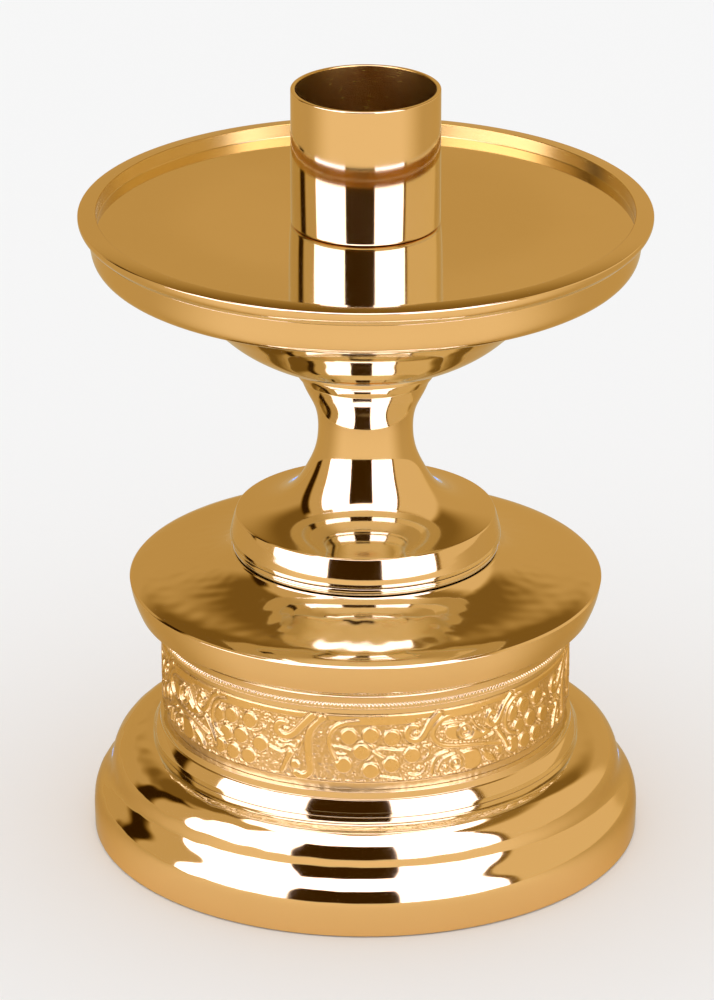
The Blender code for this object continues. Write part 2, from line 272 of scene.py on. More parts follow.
def finish_with(node, tree, shader, colour, rough, height, strength, distance, metallic):
    """Wire a colour, a roughness and a bump into the shader."""
    bump = node("ShaderNodeBump", {"Height": height, "Strength": strength, "Distance": distance})
    tree.links.new(colour, shader.inputs["Base Color"])
    tree.links.new(rough, shader.inputs["Roughness"])
    tree.links.new(bump.outputs[0], shader.inputs["Normal"])
    shader.inputs["Metallic"].default_value = metallic


def around_axis(node, calc, across, along):
    """Coordinates that run round the Z axis, for marks left by turning and buffing."""
    place_at = node("ShaderNodeTexCoord").outputs["Object"]
    x, y, z = node("ShaderNodeSeparateXYZ", {0: place_at}).outputs
    angle = calc("ARCTAN2", y, x)
    radius = calc("SQRT", calc("ADD", calc("MULTIPLY", x, x), calc("MULTIPLY", y, y)))
    scaled = [calc("MULTIPLY", angle, along), calc("MULTIPLY", radius, across), calc("MULTIPLY", z, across)]
    return node("ShaderNodeCombineXYZ", dict(enumerate(scaled))).outputs[0]


MARKS_ROUND, MARKS_ACROSS = 6.0, 9000.0   # turning marks: cells per radian round a piece, per metre across
GRAZING_TINT = (1.0, 0.85, 0.6, 1.0)      # brass stays warm where it is seen edge on
HOLLOW_SHADE_TONE = (0.62, 0.34, 0.10)          # brass down in the recesses, where the buff doesn't reach, made darker still with painted shade
HOLLOW_ROUGH = 0.08                       # and how much rougher it is there


def brass(name, colour, dull, rough, marks, across=MARKS_ACROSS, hollow_shade=0.0):
    """Buffed brass: its colour drifts a little, and its gloss breaks in fine turning marks and faint haze.

    The last argument sets how far the recesses of a casting, which its "hollow" attribute marks, are darkened
    with painted shade and made rougher.
    """
    material, tree, shader = new_material(name)
    node, calc = node_tools(tree)
    spot = node("ShaderNodeTexCoord").outputs["Object"]
    drift = noise(node, spot, 38.0, 4.0)
    haze = noise(node, spot, 160.0, 6.0, roughness=0.7)
    lines = noise(node, around_axis(node, calc, across, MARKS_ROUND), 1.0, 2.0)
    tint = blend_colour(node, drift, colour, dull)
    gloss = calc("ADD", ranged(node, haze, *rough), calc("MULTIPLY", lines, marks))
    if hollow_shade:
        deep = node("ShaderNodeAttribute", attribute_name="hollow").outputs["Fac"]
        # painted shade: the tint darkens towards a browner tone down in the recesses
        tint = blend_colour(node, calc("MULTIPLY", deep, hollow_shade), tint, HOLLOW_SHADE_TONE)
        gloss = calc("ADD", gloss, calc("MULTIPLY", deep, HOLLOW_ROUGH))
    finish_with(node, tree, shader, tint, gloss, lines, 0.05, 0.00002, 1.0)
    shader.inputs["Specular Tint"].default_value = GRAZING_TINT
    return material


def zinc_steel():
    """Zinc plate under a yellow chromate film of uneven depth, with fine spangle in its gloss."""
    material, tree, shader = new_material("zinc_steel")
    node, _ = node_tools(tree)
    spot = node("ShaderNodeTexCoord").outputs["Object"]
    film = blend_colour(node, noise(node, spot, 90.0, 5.0), (0.62, 0.55, 0.38), (0.58, 0.50, 0.31))
    spangle = node("ShaderNodeTexVoronoi", {"Vector": spot, "Scale": 900.0}).outputs[0]
    finish_with(node, tree, shader, film, ranged(node, spangle, 0.22, 0.42), spangle, 0.15, 0.00003, 1.0)
    return material


def cast_iron():
    """Rough sand-cast iron under thin black paint, with rust starting in its pits."""
    material, tree, shader = new_material("cast_iron")
    node, calc = node_tools(tree)
    spot = node("ShaderNodeTexCoord").outputs["Object"]
    sand = noise(node, spot, 700.0, 8.0)
    rust = calc("POWER", noise(node, spot, 60.0, 6.0, roughness=0.75), 3.0)
    paint = blend_colour(node, ranged(node, rust, 0.0, 1.0), (0.055, 0.055, 0.058), (0.16, 0.06, 0.025))
    finish_with(node, tree, shader, paint, ranged(node, sand, 0.55, 0.8), sand, 0.8, 0.0004, 0.4)
    return material


def green_felt():
    """Pressed wool felt: matted fibres in two greens, with a soft sheen."""
    material, tree, shader = new_material("felt")
    node, calc = node_tools(tree)
    spot = node("ShaderNodeTexCoord").outputs["Object"]
    matted = noise(node, spot, 900.0, 8.0, distortion=2.5)
    mixed = calc("MULTIPLY", matted, calc("ADD", noise(node, spot, 70.0, 3.0), 0.5))
    wool = blend_colour(node, mixed, (0.018, 0.06, 0.032), (0.06, 0.16, 0.09))
    finish_with(node, tree, shader, wool, ranged(node, matted, 0.85, 1.0), matted, 0.7, 0.0002, 0.0)
    shader.inputs["Sheen Weight"].default_value = 0.35
    shader.inputs["Sheen Roughness"].default_value = 0.5
    return material


POLISHED = brass("polished_brass", (0.89, 0.52, 0.185), (0.86, 0.495, 0.168), (0.02, 0.08), 0.03)
SATIN = brass("satin_brass", (0.74, 0.36, 0.06), (0.62, 0.29, 0.045), (0.16, 0.24), 0.10, across=5000.0)
CAST = brass("cast_brass", (0.88, 0.48, 0.125), (0.84, 0.445, 0.11), (0.23, 0.31), 0.02, hollow_shade=0.35)
ZINC = zinc_steel()
IRON = cast_iron()
FELT = green_felt()


# ---------------------------------------------------------------- turned pieces
def base_shell():
    """The stepped foot: a skirt, a roll and a shoulder, spun from sheet and open below."""
    shoulder = spline([(60.0, BASE_TOP), (63.6, 27.7), (66.2, 26.9), (68.7, 24.9), (70.2, 22.5), (70.9, 20.0),
                       (71.4, 17.8), (72.5, 15.7), (73.55, 14.4), (74.7, 12.95), (75.6, 11.0), (76.1, 8.6),
                       (BASE_RADIUS, 5.0)])
    inside = [(74.8, SKIRT_BOTTOM), (74.8, 9.5), (72.6, 13.2), (70.2, 16.6), (69.5, 20.0), (68.4, 23.0),
              (66.0, 25.4), (62.5, BASE_TOP - SHEET), (HOLE, BASE_TOP - SHEET)]
    outline = eased([(HOLE, BASE_TOP), *shoulder, (76.1, SKIRT_BOTTOM), *inside], 0.35)
    shell = lathe("base_shell_turned", outline, POLISHED, FINE_COLUMNS)
    buffed(shell, 60.5, 77.0, depth=0.005, left=5.0, seed=1)
    place(shell, "polished_brass", "base_shell")


def frieze_foot_ring():
    """The moulded ring between the base and the frieze."""
    bottom, top = BASE_TOP + SEAM, FRIEZE_BOTTOM - SEAM
    outline = [(56.4, top), (57.35, top), (57.45, 32.55), (57.85, 32.3), (58.2, 31.7), (58.65, 30.8),
               (59.1, 29.8), (59.3, 29.3), (59.35, bottom), (DRUM_INNER, bottom), (DRUM_INNER, top)]
    ring = lathe("frieze_foot_ring_turned", eased(outline, 0.15), POLISHED)
    place(ring, "polished_brass", "frieze_foot_ring")


def beaded_collar():
    """The cove under the cover, over a ring of small beads pressed into its foot."""
    beads, per_bead, depth = 340, 6, 0.7
    cove = spline([(62.0, COLLAR_TOP), (59.4, 65.0), (57.7, 63.0), (57.1, 61.0)])
    edge = arc((56.5, BEAD_HEIGHT), BEAD_RADIUS, 65, -65, 0.2)
    outline = eased([*cove, *edge, (56.5, 58.8), (56.5, COLLAR_BOTTOM), (DRUM_INNER, COLLAR_BOTTOM),
                     (DRUM_INNER, COLLAR_TOP)], 0.15)
    obj = lathe("beaded_collar_turned", outline, POLISHED, beads * per_bead)
    mesh = obj.data
    flat = np.empty(len(mesh.vertices) * 3)
    mesh.vertices.foreach_get("co", flat)
    v = flat.reshape(-1, 3) / MM
    radius = np.hypot(v[:, 0], v[:, 1])
    angle = np.arctan2(v[:, 1], v[:, 0])
    on_bead = np.clip(1.0 - (v[:, 2] - BEAD_HEIGHT) ** 2, 0.0, 1.0) * (radius > 56.4)
    wave = np.abs(np.cos(angle * beads / 2))
    rng = np.random.default_rng(3)
    strike = rng.uniform(0.75, 1.15, beads)[np.floor((angle / math.tau + 0.5) * beads).astype(int) % beads]
    v[:, :2] *= (1.0 - depth * on_bead * (1.0 - wave * strike) / radius)[:, None]
    mesh.vertices.foreach_set("co", (v * MM).ravel())
    place(obj, "polished_brass", "beaded_collar")


def cover_plate():
    """The wide cover of the drum: a seat for the stem, a shallow flare and a rim that leans in."""
    flare = spline([(37.25, 82.9), (38.2, 82.05), (39.3, 81.25), (40.8, 80.4), (43.0, 79.5), (46.0, 78.7),
                    (53.0, 77.45), (57.0, 77.05), (60.8, 76.65), (63.2, 76.1), (64.9, 75.4)])
    rim = spline([(65.4, 74.9), (64.75, 71.5), (63.9, 68.9), (62.9, COVER_RIM_BOTTOM)])
    under = COVER_SEAT - SHEET
    inside = [(61.2, COVER_RIM_BOTTOM), (62.6, 70.5), (63.2, 73.4), (61.5, 74.7), (57.0, 75.5), (46.0, 77.2),
              (43.0, 78.1), (40.0, 79.2), (37.4, 80.8), (36.0, under), (HOLE, under)]
    outline = eased([(HOLE, COVER_SEAT), (37.0, COVER_SEAT), *flare, *rim, *inside], 0.25)
    cover = lathe("cover_plate_turned", outline, POLISHED, FINE_COLUMNS)
    buffed(cover, 39.0, 64.5, depth=0.009, left=1.3, seed=2)
    place(cover, "polished_brass", "cover_plate")


def stem_foot_ring():
    """The thin rounded ring that the stem's disc stands on."""
    top, bottom = STEM_BOTTOM - SEAM, COVER_SEAT + SEAM
    bead = arc((35.3, (top + bottom) / 2), 1.5, 38, -38, FINE_STEP)
    outline = eased([*bead, (20.0, bottom), (20.0, top)], 0.15)
    place(lathe("stem_foot_ring_turned", outline, POLISHED), "polished_brass", "stem_foot_ring")


def stem():
    """The casting from the waisted neck down to the disc at its foot, with a hollow under the disc."""
    neck = spline([(18.0, STEM_TOP), (16.3, 130.0), (14.0, 125.2), (13.05, 118.5), (13.96, 112.0),
                   (16.6, 106.0), (20.3, 100.4), (25.0, 96.8), (30.0, 95.0), (35.5, 94.0)])
    disc = spline([(35.8, 93.7), (36.3, 92.2), (36.8, 90.3), (37.3, 88.2), (37.4, 87.2), (37.25, 86.4),
                   (36.8, STEM_BOTTOM)])
    hollow = [(30.0, STEM_BOTTOM), (28.0, 91.0), (18.0, 94.6), (12.0, 101.0), (8.5, 110.0), (8.5, 127.0),
              (12.0, STEM_TOP)]
    outline = eased([*neck, *disc, *hollow], 0.3)
    place(lathe("stem_turned", outline, POLISHED), "polished_brass", "stem")


def stem_collar():
    """The small ring between the neck and the cup."""
    top, bottom = CUP_FLOOR - SEAM, STEM_TOP + SEAM
    ovolo = spline([(20.3, top), (20.5, 138.0), (19.7, 136.0), (18.4, bottom)], 0.3)
    outline = eased([*ovolo, (HOLE, bottom), (HOLE, top)], 0.2)
    place(lathe("stem_collar_turned", outline, POLISHED), "polished_brass", "stem_collar")


def dull_inside(piece, radius, bottom):
    """Satin finish on the faces inside a radius and above a height, which the buffing wheel doesn't reach."""
    piece.data.materials.append(SATIN)
    for face in piece.data.polygons:
        x, y, z = face.center / MM
        if math.hypot(x, y) < radius and z > bottom:
            face.material_index = 1


def pan_cup():
    """The bowl under the pan."""
    bowl = spline([(51.0, CUP_TOP), (47.3, 156.0), (43.0, 152.0), (38.7, 148.0), (33.0, 144.0),
                   (29.2, 142.0), (25.0, 140.4), (20.8, CUP_FLOOR)])
    inside = [(HOLE, CUP_FLOOR), (HOLE, 140.7), (20.4, 140.7), (32.0, 145.4), (42.0, 153.6), (48.8, CUP_TOP)]
    outline = eased([*bowl, *inside], 0.3)
    place(lathe("pan_cup_turned", outline, POLISHED), "polished_brass", "pan_cup")


def pan_shell():
    """The rounded underside of the pan."""
    top = TRAY_BOTTOM - SEAM / 2
    side = spline([(75.4, top), (75.0, 174.7), (74.7, 172.5), (74.0, 170.0), (72.2, 168.0),
                   (69.4, 166.9)])
    floor_top = SHELL_FLOOR + SHEET
    lining = [(HOLE, SHELL_FLOOR), (HOLE, floor_top), (51.2, floor_top), (69.0, 168.3), (71.8, 169.4),
              (73.0, 171.4), (74.0, top)]
    outline = eased([*side, (51.5, CUP_TOP + SEAM), *lining], 0.1)
    place(lathe("pan_shell_turned", outline, POLISHED), "polished_brass", "pan_shell")


def drip_pan():
    """The tray that catches the wax: a flat floor, an upright inner wall and a wide lip."""
    lip = spline([(78.0, 181.15), (78.0, 180.4), (77.3, 178.9), (76.1, 177.7), (75.4, TRAY_BOTTOM)], 0.3)
    outline = eased([(TRAY_INNER, TRAY_TOP), (77.8, 181.4), *lip, (HOLE, TRAY_BOTTOM), (HOLE, TRAY_FLOOR),
                     (TRAY_INNER, TRAY_FLOOR)], 0.3)
    pan = lathe("drip_pan_turned", outline, POLISHED)
    dull_inside(pan, TRAY_INNER + 0.2, TRAY_FLOOR + 0.1)
    place(pan, "polished_brass", "drip_pan")


def candle_socket():
    """The plain cup that holds the candle, with a boss on its floor for the washer."""
    bottom, bend = TRAY_FLOOR + SEAM, 0.9
    foot = arc((SOCKET_RADIUS - bend, bottom + bend), bend, 0, -90, FINE_STEP)
    boss = [(HOLE, BOSS_TOP), (BOSS_RADIUS - 0.5, BOSS_TOP), (BOSS_RADIUS, SOCKET_SEAT)]
    outline = eased([(SOCKET_RADIUS, HEIGHT), *foot, (HOLE, bottom), *boss, (SOCKET_BORE, SOCKET_SEAT),
                     (SOCKET_BORE, HEIGHT)], 0.35)
    socket = lathe("candle_socket_turned", outline, POLISHED)
    dull_inside(socket, SOCKET_BORE + 0.1, SOCKET_SEAT - 0.1)
    place(socket, "polished_brass", "candle_socket")


# ---------------------------------------------------------------- cast frieze
# A quarter of the vine, which runs round the drum four times. Places are (azimuth in degrees, height in mm):
# azimuth 0 is the camera's side and + is to the right, seen from outside.
VINE_REPEATS = 4
VINE_START = -48.5
DEGREE = math.radians(1.0) * FRIEZE_RADIUS     # mm round the drum
FRIEZE_COLUMNS, FRIEZE_ROW = 1600, 0.22        # points round the drum, and mm between the rows
FRIEZE_LIP = 0.6       # rounding of its top edge
RELIEF = 0.75          # the buffed tops stand this far off the ground
BEVEL = 0.5            # width of the rounded edge of a form
MOAT = 0.5             # a form is cut free of what lies under it by a groove this wide
BAND_RADIUS = 55.5     # plain hammered band under the vine
STIPPLE = 0.08         # roughness of the punched ground
WORN, HAMMERED = 0.012, 0.02   # unevenness of the buffed tops, and of the band
RIM, RIM_OVER, RIM_WIDTH = 0.15, 0.35, 0.3     # raised line just over the band
GRAPE = 2.45           # radius of a grape

# Leaf blades, drawn first: closed outlines
LEAVES = [
    [(22.2, 50.0), (23.0, 52.0), (27.0, 52.0), (31.0, 51.6), (34.0, 49.8), (37.2, 47.6), (34.5, 46.3),
     (30.0, 46.4), (26.0, 47.2), (23.2, 48.2)],
    [(27.4, 43.4), (33.2, 42.6), (33.6, 38.6), (28.0, 38.5), (27.8, 41.0)],
    [(34.2, 42.4), (37.6, 40.4), (39.0, 38.2), (35.6, 38.8)],
    [(39.2, 41.9), (41.6, 41.2), (41.0, 39.6), (39.0, 40.4)],
    [(-21.2, 42.4), (-19.0, 42.2), (-18.4, 40.2), (-20.4, 39.6)],
    [(-3.6, 47.6), (-0.6, 49.6), (2.6, 47.6), (1.6, 44.0), (-3.0, 44.0)],
]

# Stalks, veins and tendrils, under the grapes: (width at start, width at end, places)
STALKS = [
    (1.1, 0.9, [(-9.2, 47.4), (-7.0, 47.4), (-4.0, 46.6)]),
    (1.0, 0.7, [(1.6, 45.8), (4.5, 47.0), (7.5, 46.6), (10.8, 46.4)]),
    (1.1, 1.0, [(2.2, 46.2), (3.6, 45.2), (5.4, 44.2)]),
    (0.9, 0.7, [(-8.6, 45.4), (-5.8, 45.4)]),
    (1.2, 1.0, [(-29.0, 45.5), (-25.0, 44.3), (-21.5, 44.2), (-18.8, 46.3), (-17.2, 49.3)]),
    (2.0, 1.6, [(-21.2, 44.2), (-22.4, 41.6), (-23.6, 38.7)]),
    (0.9, 0.8, [(-25.4, 46.4), (-23.4, 45.8), (-21.6, 46.8), (-19.8, 46.2), (-18.8, 47.8)]),
    (0.8, 0.6, [(-24.6, 47.8), (-22.8, 47.3), (-21.0, 48.0)]),
    (0.8, 0.6, [(12.2, 39.0), (14.4, 38.6), (16.4, 39.6), (16.8, 41.4)]),
    (1.0, 0.5, [(16.6, 46.8), (18.0, 45.6), (17.4, 43.8), (16.0, 43.0)]),
    (0.6, 0.5, [(4.0, 38.9), (6.8, 38.3), (10.4, 37.6)]),
    (1.2, 1.0, [(18.5, 38.6), (18.9, 41.2), (20.6, 43.6), (23.4, 44.4)]),
    (0.9, 0.8, [(20.2, 38.8), (21.0, 41.2), (23.0, 42.8), (25.6, 43.2)]),
    (0.9, 0.8, [(21.6, 52.6), (25.0, 52.8), (28.6, 52.3)]),
    (0.9, 0.7, [(30.6, 52.8), (31.8, 50.6), (34.0, 48.6)]),
    (0.8, 0.7, [(35.2, 45.8), (37.0, 46.0), (38.8, 46.6)]),
    (0.7, 0.6, [(-44.0, 48.4), (-41.8, 48.0), (-39.6, 48.6)]),
    (0.7, 0.6, [(-34.6, 48.8), (-32.2, 48.6), (-29.4, 50.2)]),
    (0.7, 0.5, [(-31.4, 43.0), (-32.6, 42.4), (-33.2, 43.6)]),
]

# Two bunches of grapes
GRAPES = [(-4.5, 50.7), (1.5, 51.2), (7.3, 50.2), (-1.0, 46.2), (13.0, 44.7), (-6.0, 42.2), (7.2, 42.2),
          (1.5, 40.6), (-45.0, 50.4), (-40.2, 51.2), (-33.8, 51.5), (-42.2, 45.4), (-36.9, 46.1),
          (-30.4, 45.2), (-44.6, 40.9), (-39.7, 40.6), (-34.2, 40.7)]

# Scrolls, over the grapes: (width at start, width at end, part of its length after which it melts into the
# border, places)
SCROLLS = [
    (2.4, 2.2, 1.0, [(-11.8, 55.9), (-14.0, 53.8), (-15.7, 50.5), (-16.0, 46.0), (-15.6, 42.0), (-15.4, 39.6),
                     (-16.6, 38.2), (-18.4, 37.9), (-19.6, 38.5)]),
    (2.3, 2.0, 1.0, [(-14.6, 56.3), (-18.3, 52.2), (-20.8, 49.7), (-23.8, 49.3), (-25.3, 51.0), (-24.4, 52.8),
                     (-22.6, 52.9)]),
    (1.2, 2.3, 0.55, [(-8.4, 44.0), (-9.9, 47.5), (-9.8, 51.0), (-8.0, 53.5), (-4.5, 54.8), (2.0, 55.0),
                      (13.0, 55.2)]),
    (2.2, 1.7, 1.0, [(20.6, 56.0), (18.0, 53.5), (16.2, 50.3), (14.0, 48.9), (11.9, 49.8), (11.6, 51.9),
                     (12.9, 53.2), (14.4, 52.9)]),
    (1.2, 2.0, 0.62, [(41.0, 42.5), (36.0, 43.8), (30.0, 45.0), (24.0, 45.9), (20.2, 47.4), (18.7, 50.2),
                      (20.0, 53.0), (23.0, 54.7), (29.0, 55.1), (33.0, 55.3)]),
    (1.5, 1.4, 1.0, [(38.2, 48.6), (40.4, 46.0), (42.3, 43.2), (43.4, 41.0)]),
    (2.0, 1.6, 1.0, [(44.6, 56.0), (41.8, 53.2), (39.9, 50.2), (37.9, 49.0), (36.3, 50.1), (36.2, 52.1),
                     (37.3, 53.2), (38.4, 52.4)]),
    (1.2, 2.0, 0.7, [(-43.6, 43.9), (-46.4, 45.4), (-47.7, 49.2), (-46.3, 52.9), (-43.5, 54.6), (-39.0, 55.1),
                     (-34.0, 55.3)]),
]

# Rings and bosses on the scrolls and leaves: (azimuth, height, ring radius or 0, boss radius)
EYES = [(28.6, 49.6, 1.9, 0.9), (25.8, 40.3, 1.7, 0.9), (14.1, 51.0, 0.0, 0.85), (37.5, 51.0, 0.0, 0.75),
        (-22.6, 51.2, 0.0, 0.85), (15.0, 40.4, 0.0, 0.8), (22.6, 39.6, 0.0, 0.9), (-29.3, 50.3, 0.0, 0.7),
        (-43.9, 53.2, 0.0, 0.6), (-7.6, 49.6, 0.0, 0.6)]


def to_path(x, z, path):
    """Distance from every point of a grid to a path, and how far along it the nearest point is, 0 to 1."""
    path = np.array(path)
    ends = np.concatenate([[0.0], np.cumsum(np.hypot(*np.diff(path, axis=0).T))])
    nearest, along = np.full(x.shape, 1e9), np.zeros(x.shape)
    for a, b, start, end in zip(path[:-1], path[1:], ends[:-1], ends[1:]):
        side = b - a
        f = np.clip(((x - a[0]) * side[0] + (z - a[1]) * side[1]) / (side @ side), 0.0, 1.0)
        distance = np.hypot(x - a[0] - f * side[0], z - a[1] - f * side[1])
        closer = distance < nearest
        nearest = np.where(closer, distance, nearest)
        along = np.where(closer, (start + f * (end - start)) / ends[-1], along)
    return nearest, along


def inside_loop(x, z, loop):
    """True where a point of the grid lies inside a closed loop."""
    inside = np.zeros(x.shape, bool)
    for (ax, az), (bx, bz) in zip(loop, loop[1:] + loop[:1]):
        if az != bz:
            inside ^= ((az > z) != (bz > z)) & (x < (bx - ax) * (z - az) / (bz - az) + ax)
    return inside


def raise_form(relief, depth, moat=1.0, height=RELIEF):
    """Add a flat-topped form with rounded edges. depth is how far inside its outline each point is."""
    cut = np.clip(-depth / MOAT, 0.0, 1.0)
    relief *= 1.0 - moat * (1.0 - cut ** 2)
    fall = np.clip(depth / BEVEL, 0.0, 1.0)
    np.maximum(relief, height * np.sqrt(1.0 - (1.0 - fall) ** 2), out=relief)


def vine(x, z):
    """Height of one quarter of the vine over its ground, on a grid of points in mm."""
    relief = np.zeros(x.shape)
    around = 360.0 / VINE_REPEATS * DEGREE

    def draw(places, reach, form):
        """Call form for the part of the grid near the places, which may cross the quarter's ends."""
        points = [((azimuth - VINE_START) * DEGREE, height) for azimuth, height in places]
        for shift in (-around, 0.0, around):
            moved = [(px + shift, pz) for px, pz in points]
            low, high = np.min(moved, axis=0) - reach, np.max(moved, axis=0) + reach
            rows = (z[:, 0] > low[1]) & (z[:, 0] < high[1])
            columns = (x[0] > low[0]) & (x[0] < high[0])
            if rows.any() and columns.any():
                part = np.ix_(rows, columns)
                patch = relief[part]
                form(patch, x[part], z[part], moved)
                relief[part] = patch

    def border(patch, px, pz, _):
        raise_form(patch, pz - FIELD_TOP)

    def leaf(patch, px, pz, loop):
        closed = spline(loop + loop[:1])[:-1]
        distance, _ = to_path(px, pz, closed + closed[:1])
        raise_form(patch, np.where(inside_loop(px, pz, closed), distance, -distance))

    def grape(patch, px, pz, centre):
        distance = np.hypot(px - centre[0][0], pz - centre[0][1])
        raise_form(patch, GRAPE - distance)

    def band(first, last, melt):
        def form(patch, px, pz, places):
            distance, along = to_path(px, pz, spline(places, 0.5))
            raise_form(patch, (first + (last - first) * along) / 2 - distance,
                       np.clip((melt - along) / 0.04, 0.0, 1.0) if melt < 1.0 else 1.0)
        return form

    def eye(ring, boss):
        def form(patch, px, pz, centre):
            distance = np.hypot(px - centre[0][0], pz - centre[0][1])
            if ring:
                raise_form(patch, 0.5 - np.abs(distance - ring))
            dome = np.clip(1.0 - (distance / boss) ** 2, 0.0, 1.0)
            patch *= np.where(distance < boss + MOAT, np.clip((distance - boss) / MOAT, 0.0, 1.0), 1.0)
            np.maximum(patch, RELIEF * np.sqrt(dome), out=patch)
        return form

    draw([(VINE_START, FIELD_TOP), (VINE_START + 90.0, FRIEZE_TOP)], 3.0, border)
    for loop in LEAVES:
        draw(loop, 2.0, leaf)
    for first, last, places in STALKS:
        draw(places, 2.0, band(first, last, 1.0))
    for centre in GRAPES:
        draw([centre], 4.0, grape)
    for first, last, melt, places in SCROLLS:
        draw(places, 3.0, band(first, last, melt))
    for azimuth, height, ring, boss in EYES:
        draw([(azimuth, height)], 4.0, eye(ring, boss))
    return relief


def smoothed(field, times):
    """A noise field blurred a little and scaled back to a spread of 1. It stays seamless round the drum."""
    for _ in range(times):
        field = (np.roll(field, 1, axis=1) + 2 * field + np.roll(field, -1, axis=1)) / 4
        padded = np.pad(field, ((1, 1), (0, 0)), mode="edge")
        field = (padded[:-2] + 2 * field + padded[2:]) / 4
    return field / field.std()


def frieze_band():
    """The cast ring: vine in relief on a stippled ground, a plain border above and a hammered band below."""
    turn = np.radians(np.linspace(90.0, 15.0, 6))
    shoulder = FRIEZE_TOP - FRIEZE_LIP
    straight = np.arange(shoulder, FRIEZE_BOTTOM + FRIEZE_ROW / 2, -FRIEZE_ROW)
    heights = np.concatenate([shoulder + FRIEZE_LIP * np.sin(turn), straight, [FRIEZE_BOTTOM]])
    inset = np.concatenate([FRIEZE_LIP * (1 - np.cos(turn)), np.zeros(len(straight) + 1)])
    angles = np.arange(FRIEZE_COLUMNS) * math.tau / FRIEZE_COLUMNS
    quarter = np.degrees(angles[:FRIEZE_COLUMNS // VINE_REPEATS]) + 90.0 - VINE_START
    x, z = np.meshgrid(np.sort(quarter % 90.0) * DEGREE, heights)
    order = np.argsort(np.argsort(quarter % 90.0))
    relief = np.tile(vine(x, z)[:, order], (1, VINE_REPEATS))

    rng = np.random.default_rng(11)
    grain = rng.normal(size=relief.shape)
    z = heights[:, None]
    in_band = np.clip((FIELD_BOTTOM - z) / 0.5, 0.0, 1.0)
    ground = np.clip(1.0 - relief / (0.5 * RELIEF), 0.0, 1.0) * (1.0 - in_band)
    radius = FRIEZE_RADIUS - RELIEF + relief + STIPPLE * ground * smoothed(grain, 1)
    radius += WORN * smoothed(rng.normal(size=relief.shape), 12) * (1.0 - ground)
    band = BAND_RADIUS + HAMMERED * smoothed(rng.normal(size=relief.shape), 8)
    radius = radius * (1.0 - in_band) + band * in_band
    rim = RIM * np.exp(-((z - FIELD_BOTTOM - RIM_OVER) / RIM_WIDTH) ** 2) * (1.0 + 0.25 * smoothed(grain, 2))
    radius += np.clip(rim, 0.0, 0.5) * ground
    radius -= inset[:, None]

    rows = len(heights)
    verts = np.empty((rows + 2, FRIEZE_COLUMNS, 3))
    verts[:rows, :, 0] = radius * np.cos(angles)
    verts[:rows, :, 1] = radius * np.sin(angles)
    verts[:rows, :, 2] = z
    verts[rows:, :, 0] = DRUM_INNER * np.cos(angles)
    verts[rows:, :, 1] = DRUM_INNER * np.sin(angles)
    verts[rows, :, 2], verts[rows + 1, :, 2] = FRIEZE_BOTTOM, FRIEZE_TOP
    obj = grid_object("frieze_band_cast", verts, True, CAST)
    # how deep each point lies in the relief; the cast brass paints shade there
    hollow = np.zeros((rows + 2, FRIEZE_COLUMNS))
    hollow[:rows] = np.clip(1.0 - relief / RELIEF, 0.0, 1.0)
    mark = obj.data.attributes.new("hollow", "FLOAT", "POINT")
    mark.data.foreach_set("value", hollow.ravel())
    place(obj, "cast_brass", "frieze_band")


# ---------------------------------------------------------------- fasteners and felt
def socket_washer():
    """The washer under the nut in the socket, with its edges broken."""
    low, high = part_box("socket_washer")
    bottom, top, outer = low.z / MM, high.z / MM, high.x / MM
    outline = eased([(outer, top), (outer, bottom), (HOLE, bottom), (HOLE, top)], 0.25)
    place(lathe("socket_washer_plate", outline, ZINC, 96), "zinc_steel", "socket_washer")


def nut(node):
    """A hex nut with a bored middle, whose corners are chamfered to the circle of its faces."""
    low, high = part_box(node)
    bottom, top = low.z / MM, high.z / MM
    columns = 144
    angles = np.arange(columns) * math.tau / columns
    corner = math.tau / 6
    hexagon = NUT_FLATS / 2 / np.cos((angles + corner / 2) % corner - corner / 2)
    depth = np.array([0.0, 0.15, 0.3, 0.45, 0.6, 0.8])
    heights = np.concatenate([top - depth, bottom + depth[::-1]])
    cone = NUT_FACE + np.concatenate([depth, depth[::-1]]) / math.tan(math.radians(30.0))
    radius = np.minimum(hexagon[None], cone[:, None])
    chamfer = NUT_BORE_CHAMFER
    bore = [(HOLE + chamfer, bottom), (HOLE, bottom + chamfer), (HOLE, top - chamfer), (HOLE + chamfer, top)]
    verts = np.empty((len(heights) + len(bore), columns, 3))
    for row, (r, height) in enumerate([*zip(radius, heights), *bore]):
        verts[row] = np.stack([r * np.cos(angles), r * np.sin(angles), np.full(columns, height)], -1)
    obj = grid_object(f"{node}_hex", verts, True, ZINC)
    obj.data.set_sharp_from_angle(angle=math.radians(25.0))
    place(obj, "zinc_steel", node)


def tie_rod():
    """The rod, with a real helical thread cut at each end."""
    low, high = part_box("tie_rod")
    bottom, top = low.z / MM, high.z / MM
    columns, per_turn = 48, 12
    step = THREAD_PITCH / per_turn
    upper, lower = np.arange(top, top - THREADED, -step), np.arange(bottom + THREADED, bottom, -step)
    heights = np.concatenate([upper, lower, [bottom]])
    angles = np.arange(columns) * math.tau / columns
    turns = heights[:, None] / THREAD_PITCH - angles[None] / math.tau
    groove = np.abs(2.0 * (turns % 1.0) - 1.0)
    from_end = np.minimum(top - heights, heights - bottom)[:, None]
    run_out = np.clip((THREADED - from_end) / THREAD_PITCH, 0.0, 1.0)
    radius = ROD_RADIUS - THREAD_DEPTH * np.clip(1.15 * groove - 0.1, 0.0, 1.0) * run_out
    radius = np.minimum(radius, ROD_RADIUS - ROD_CHAMFER + from_end)
    verts = np.stack([radius * np.cos(angles), radius * np.sin(angles),
                      np.broadcast_to(heights[:, None], radius.shape)], -1)
    obj = grid_object("tie_rod_threaded", verts, False, ZINC, ((0, top), (-1, bottom)))
    place(obj, "zinc_steel", "tie_rod")


